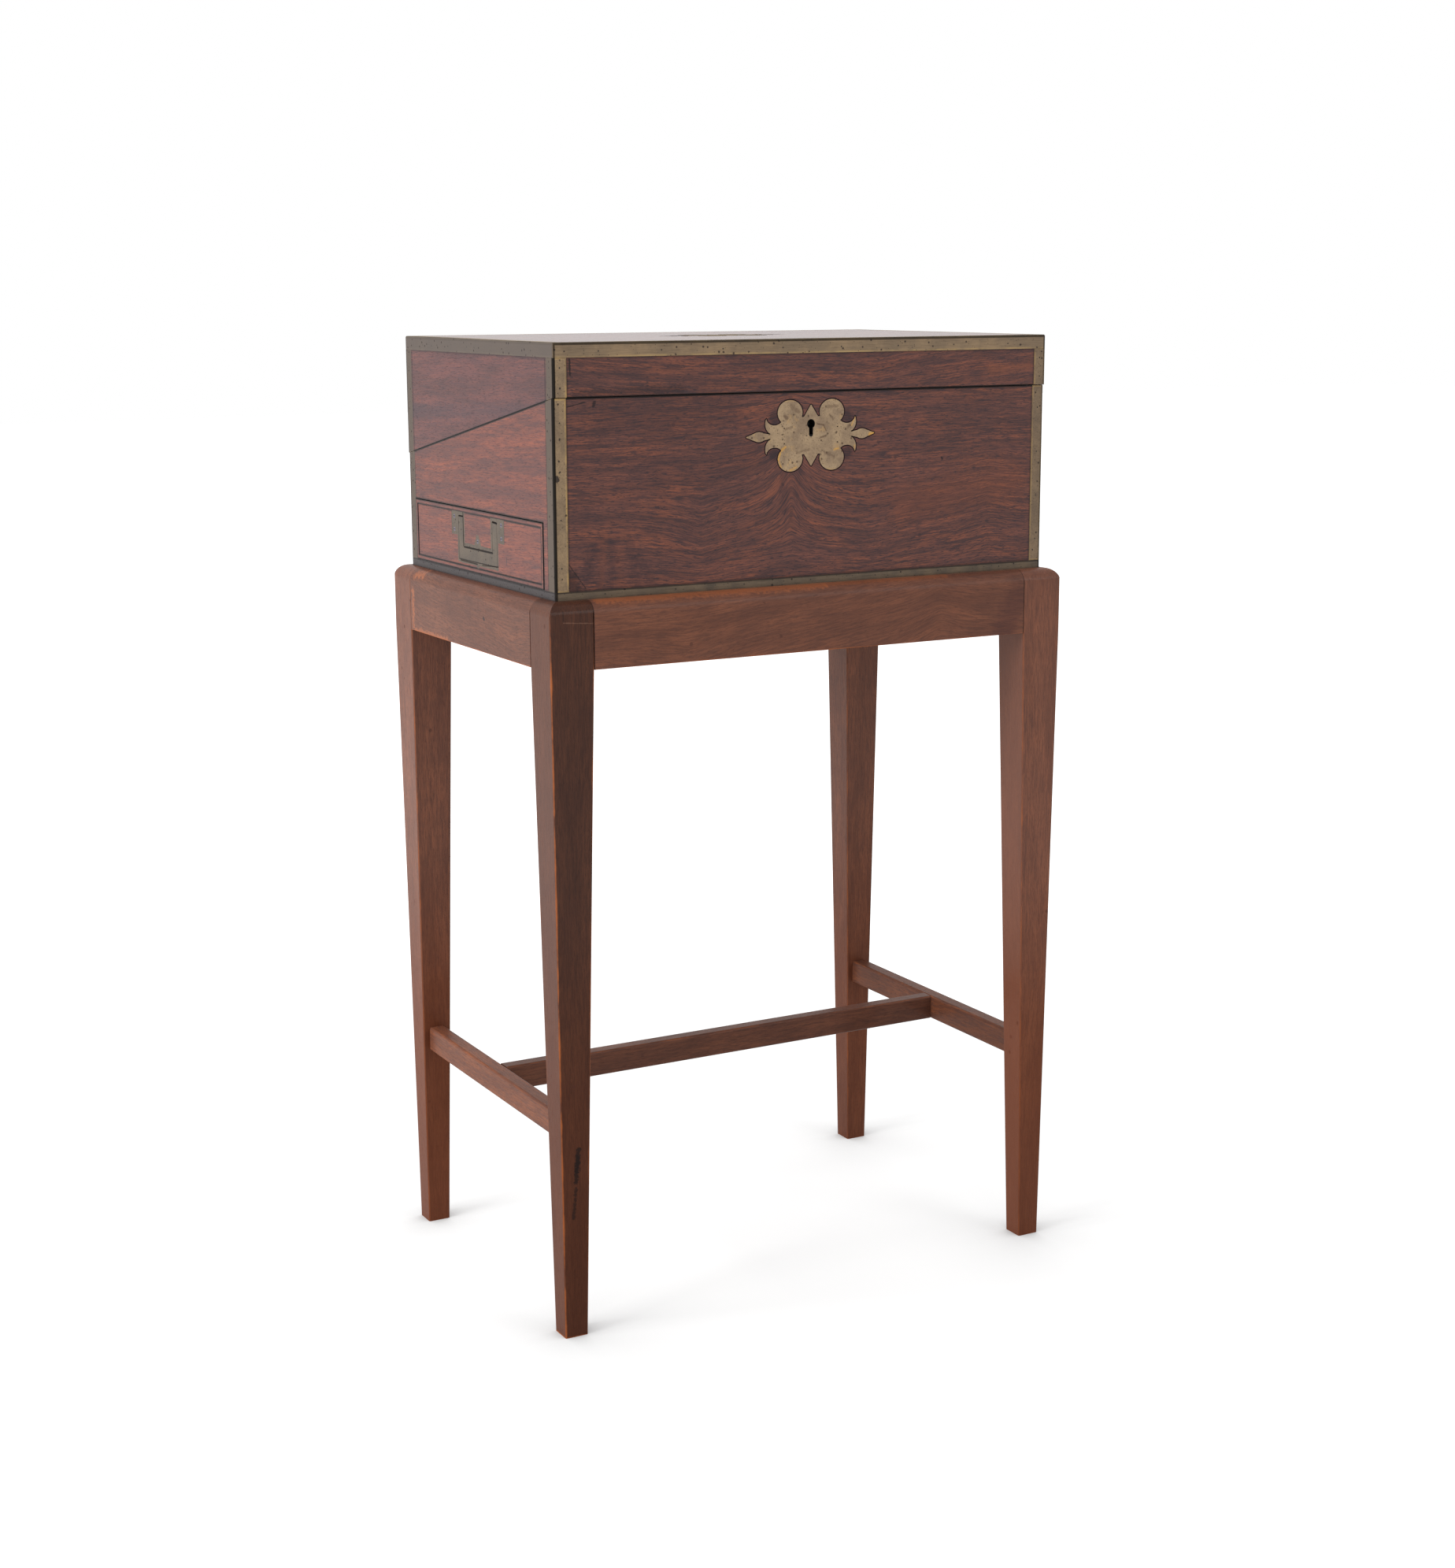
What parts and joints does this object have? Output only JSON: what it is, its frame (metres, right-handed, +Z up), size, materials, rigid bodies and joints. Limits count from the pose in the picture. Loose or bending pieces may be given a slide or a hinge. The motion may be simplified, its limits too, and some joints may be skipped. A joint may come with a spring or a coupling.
{
  "type": "letter writing box with drawer",
  "caption": "Brass-bound wooden writing slope box with a hinged sloping lid, lock and end drawer, standing in the rebated rails of its own tapered-leg stand.",
  "frame": {"origin": "on the floor, at the middle of the stand's footprint", "axes": "+X along the front to the right, +Y from the front with the keyhole to the hinge side, +Z up"},
  "size_m": [0.526, 0.355, 0.875],
  "materials": {
    "rosewood": "french polished rosewood, dark brown with black streaks",
    "stand_wood": "polished reddish brown stand wood",
    "lining_wood": "thinly polished red-brown lining wood",
    "brass": "old lacquered brass with a dull brown-green skin",
    "writing_leather": "dark green writing leather",
    "ink_glass": "clear moulded glass"
  },
  "bodies": {
    "stand": {"stand_leg_front_left": "stand_wood", "stand_leg_front_right": "stand_wood", "stand_leg_rear_left": "stand_wood", "stand_leg_rear_right": "stand_wood", "stand_rail_front": "stand_wood", "stand_rail_rear": "stand_wood", "stand_rail_left": "stand_wood", "stand_rail_right": "stand_wood", "stand_stretcher_left": "stand_wood", "stand_stretcher_right": "stand_wood", "stand_stretcher_centre": "stand_wood"},
    "box": {"base_front_board": "rosewood", "base_rear_board": "rosewood", "base_left_end": "rosewood", "base_right_end": "rosewood", "base_bottom_board": "lining_wood", "dust_board": "lining_wood", "base_inner_strips": "lining_wood", "base_strap_front_left": "brass", "base_strap_front_right": "brass", "base_strap_rear_left": "brass", "base_strap_rear_right": "brass", "base_band": "brass", "base_strap_pins": "brass", "escutcheon": "brass", "lock_case": "brass", "hinge_base_leaves": "brass", "tray_partition": "lining_wood", "pen_tray": "lining_wood", "inkwell_bottles": "ink_glass", "inkwell_caps": "brass", "upper_flap": "lining_wood", "upper_flap_leather": "writing_leather"},
    "bolt": {"lock_bolt": "brass"},
    "lid": {"lid_top_board": "rosewood", "lid_front_board": "rosewood", "lid_rear_board": "rosewood", "lid_left_end": "rosewood", "lid_right_end": "rosewood", "lid_strap_front_left": "brass", "lid_strap_front_right": "brass", "lid_strap_rear_left": "brass", "lid_strap_rear_right": "brass", "lid_band": "brass", "lid_strap_pins": "brass", "lid_cartouche": "brass", "lock_link_plate": "brass", "hinge_lid_leaves": "brass", "lower_flap": "lining_wood", "lower_flap_leather": "writing_leather", "lid_flap_ledges": "lining_wood"},
    "drawer": {"drawer_front": "rosewood", "drawer_bead": "rosewood", "drawer_side_front": "lining_wood", "drawer_side_rear": "lining_wood", "drawer_back": "lining_wood", "drawer_bottom": "lining_wood", "handle_plate": "brass", "handle_screws": "brass"},
    "bail": {"handle_bail": "brass"}
  },
  "joints": [
    {"name": "box_lift", "type": "slide", "parent": "stand", "child": "box", "axis": [0, 0, 1], "range_m": [0, 0.15]},
    {"name": "lid", "type": "hinge", "parent": "box", "child": "lid", "pos_m": [0, 0.1652, 0.76558], "axis": [-1, 0, 0], "range_deg": [0, 175]},
    {"name": "drawer", "type": "slide", "parent": "box", "child": "drawer", "axis": [-1, 0, 0], "range_m": [0, 0.36]},
    {"name": "handle_bail", "type": "hinge", "parent": "drawer", "child": "bail", "pos_m": [-0.249, 0.00235, 0.7149], "axis": [0, 1, 0], "range_deg": [0, 90]},
    {"name": "lock_bolt", "type": "slide", "parent": "box", "child": "bolt", "axis": [1, 0, 0], "range_m": [0, 0.0045]}
  ]
}
